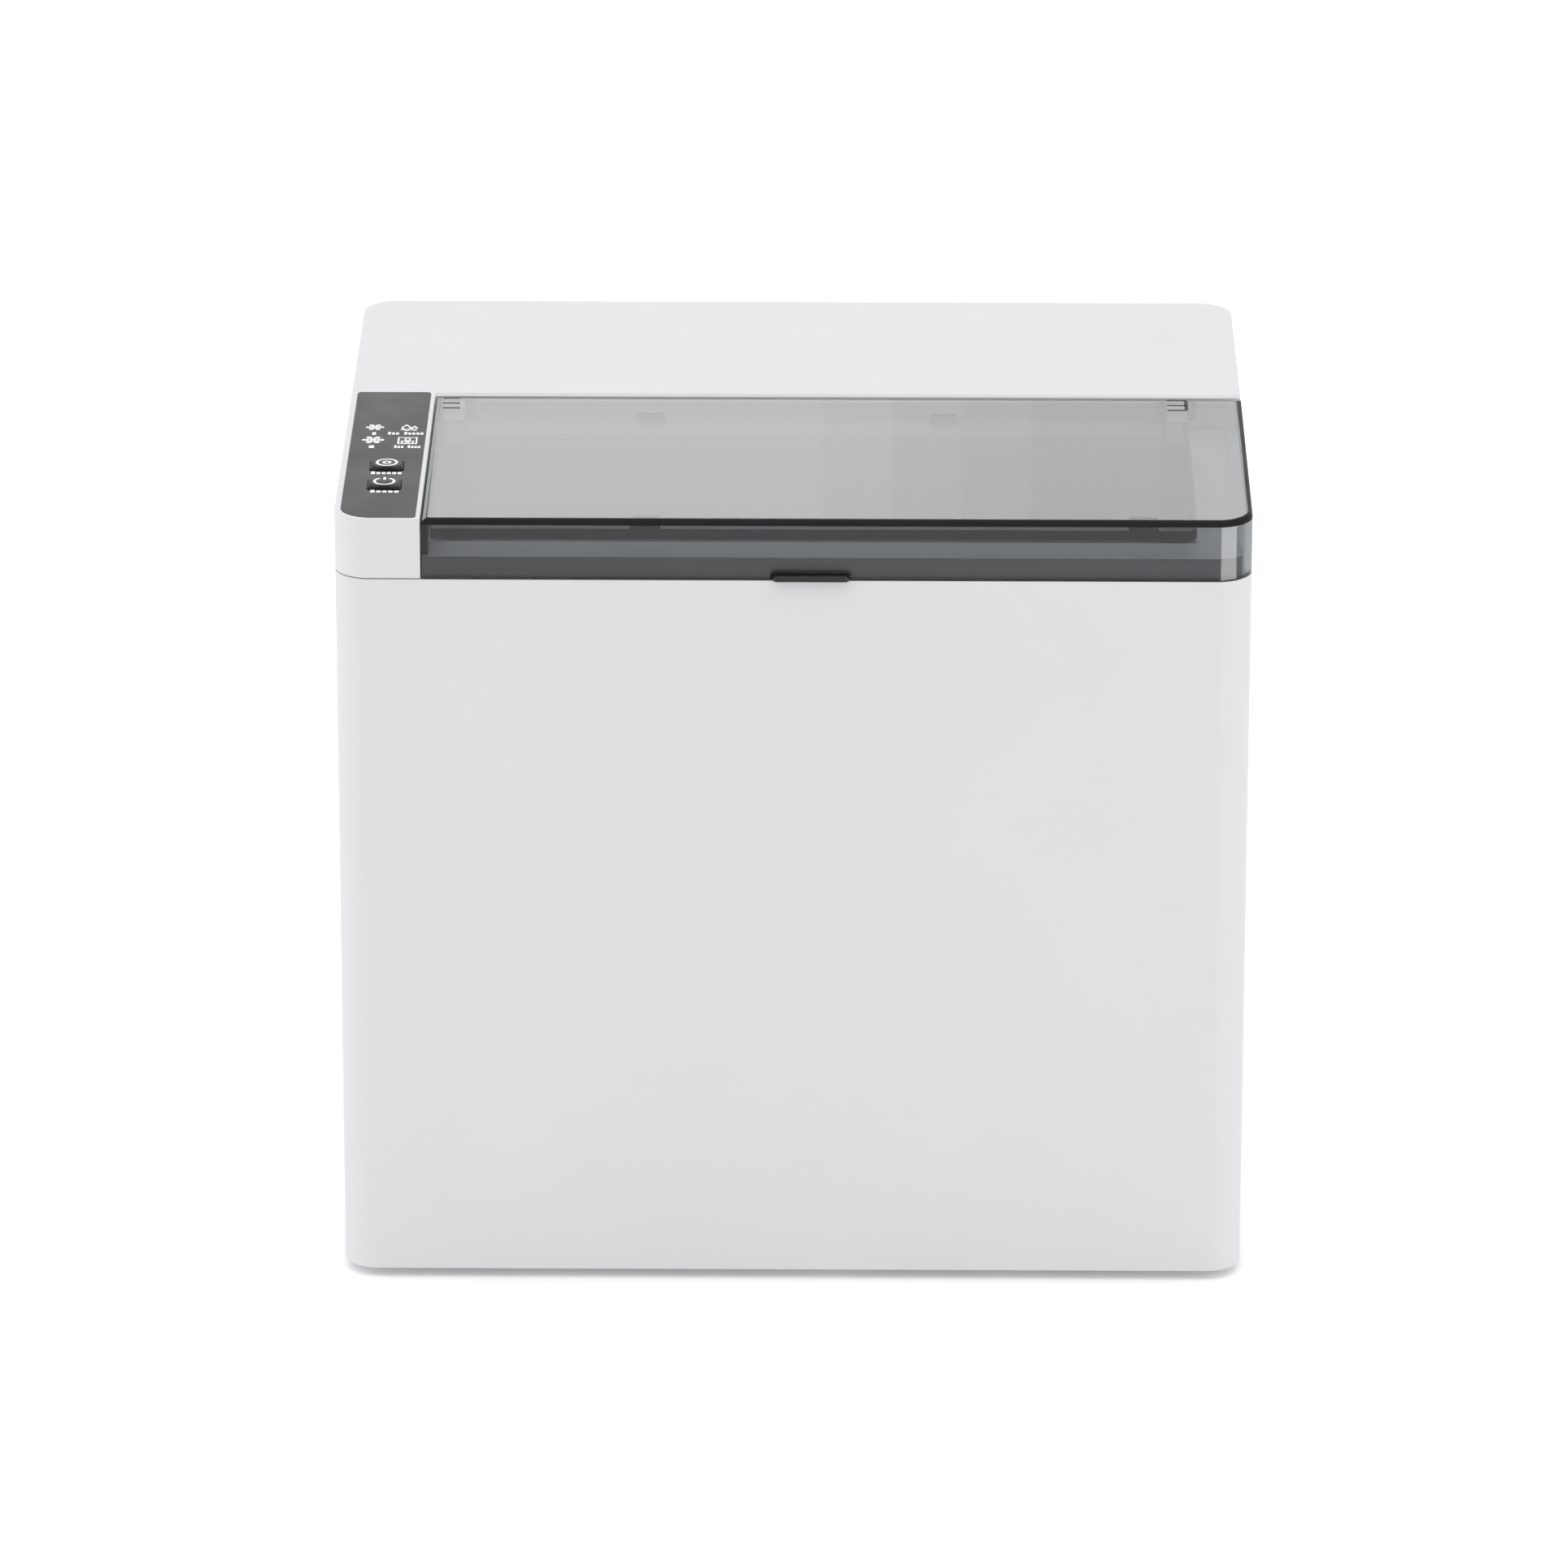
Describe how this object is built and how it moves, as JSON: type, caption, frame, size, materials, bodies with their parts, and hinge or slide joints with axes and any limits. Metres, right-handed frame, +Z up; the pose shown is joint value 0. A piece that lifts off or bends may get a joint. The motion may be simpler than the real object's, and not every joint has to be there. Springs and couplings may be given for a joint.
{
  "type": "countertop ice maker",
  "caption": "White countertop ice maker with a smoked see-through lid over an ice basket, a control strip with push buttons beside it and a plain rear deck.",
  "frame": {"origin": "on the floor under the centre of the case, level with the soles of the feet", "axes": "+X to the right of someone facing the front, +Y to the back, +Z up; the finger tab of the lid is at -Y"},
  "size_m": [0.36, 0.287, 0.3235],
  "materials": {
    "case_plastic": "satin",
    "smoked_plastic": "glossy, see-through",
    "smoked_inner_plastic": "glossy, see-through",
    "label_film": "satin",
    "button_plastic": "glossy",
    "rim_plastic": "satin",
    "liner_plastic": "satin",
    "unit_plastic": "satin",
    "basket_plastic": "satin",
    "dark_plastic": "matte",
    "nylon": "matte",
    "silicone": "satin",
    "black_rubber": "matte",
    "foam": "matte",
    "galvanised_steel": "satin",
    "stainless_steel": "polished",
    "black_painted_steel": "semi-gloss",
    "copper": "satin",
    "fin_aluminium": "satin",
    "valve_brass": "satin",
    "circuit_board": "satin",
    "led_plastic": "glossy"
  },
  "bodies": {
    "case": {"base_pan": "galvanised_steel", "feet": "black_rubber", "base_screws": "stainless_steel", "front_side_cover": "case_plastic", "rear_panel": "case_plastic", "rear_panel_screws": "stainless_steel", "rear_spacers": "black_rubber", "top_cover": "case_plastic", "hinge_brackets": "rim_plastic", "tub_rim": "rim_plastic", "control_label": "label_film", "control_board": "circuit_board", "tact_switches": "dark_plastic", "indicator_leds": "led_plastic", "inner_liner": "liner_plastic", "liner_foam": "foam", "evaporator_cover": "unit_plastic", "evaporator_tube": "copper", "freezing_fingers": "stainless_steel", "tray_gearmotor": "dark_plastic", "tray_bush": "nylon", "pump_body": "dark_plastic", "supply_hose": "silicone", "level_probes": "stainless_steel", "ice_full_sensors": "dark_plastic", "compressor": "black_painted_steel", "compressor_plate": "black_painted_steel", "compressor_grommets": "black_rubber", "compressor_terminal_cover": "dark_plastic", "condenser_fins": "fin_aluminium", "condenser_tube": "copper", "fan_shroud": "dark_plastic", "fan_motor": "galvanised_steel", "filter_drier": "copper", "capillary_tube": "copper", "suction_line": "copper", "discharge_line": "copper", "hot_gas_line": "copper", "hot_gas_valve": "valve_brass", "main_board": "circuit_board", "wiring_harness": "dark_plastic", "power_inlet": "dark_plastic", "drain_spout": "liner_plastic"},
    "lid": {"lid_cover": "smoked_plastic", "lid_inner_panel": "smoked_inner_plastic", "hinge_pins": "stainless_steel"},
    "select_button": {"select_button": "button_plastic"},
    "power_button": {"power_button": "button_plastic"},
    "tray": {"water_tray": "unit_plastic", "tray_shaft": "stainless_steel"},
    "shovel": {"ice_shovel": "basket_plastic"},
    "fan": {"fan_blade": "dark_plastic"},
    "impeller": {"pump_impeller": "nylon"},
    "basket": {"ice_basket": "basket_plastic"},
    "drain_plug": {"drain_plug": "black_rubber"}
  },
  "joints": [
    {"name": "lid_hinge", "type": "hinge", "parent": "case", "child": "lid", "pos_m": [0.008, 0.01, 0.316], "axis": [-1, 0, 0], "range_deg": [0, 95]},
    {"name": "select_press", "type": "slide", "parent": "case", "child": "select_button", "axis": [0, 0, -1], "range_m": [0, 0.001], "stiffness_N_per_m": 1500, "springref_m": -0.0006},
    {"name": "power_press", "type": "slide", "parent": "case", "child": "power_button", "axis": [0, 0, -1], "range_m": [0, 0.001], "stiffness_N_per_m": 1500, "springref_m": -0.0006},
    {"name": "tray_tilt", "type": "hinge", "parent": "case", "child": "tray", "pos_m": [0.008, 0.0235, 0.25], "axis": [1, 0, 0], "range_deg": [0, 70]},
    {"name": "shovel_sweep", "type": "hinge", "parent": "case", "child": "shovel", "pos_m": [0.008, 0.0235, 0.25], "axis": [-1, 0, 0], "range_deg": [0, 130]},
    {"name": "fan_spin", "type": "hinge", "parent": "case", "child": "fan", "pos_m": [0.1495, 0.093, 0.075], "axis": [1, 0, 0], "continuous": true},
    {"name": "impeller_spin", "type": "hinge", "parent": "case", "child": "impeller", "pos_m": [0.125, 0.027, 0.066], "axis": [0, 0, 1], "continuous": true},
    {"name": "basket_lift", "type": "slide", "parent": "case", "child": "basket", "axis": [0, 0, 1], "range_m": [0, 0.085]},
    {"name": "drain_plug_pull", "type": "slide", "parent": "case", "child": "drain_plug", "axis": [0, 1, 0], "range_m": [0, 0.013]}
  ],
  "couplings": [
    {"joint": "shovel_sweep", "follows": "tray_tilt", "ratio": 1.85}
  ]
}
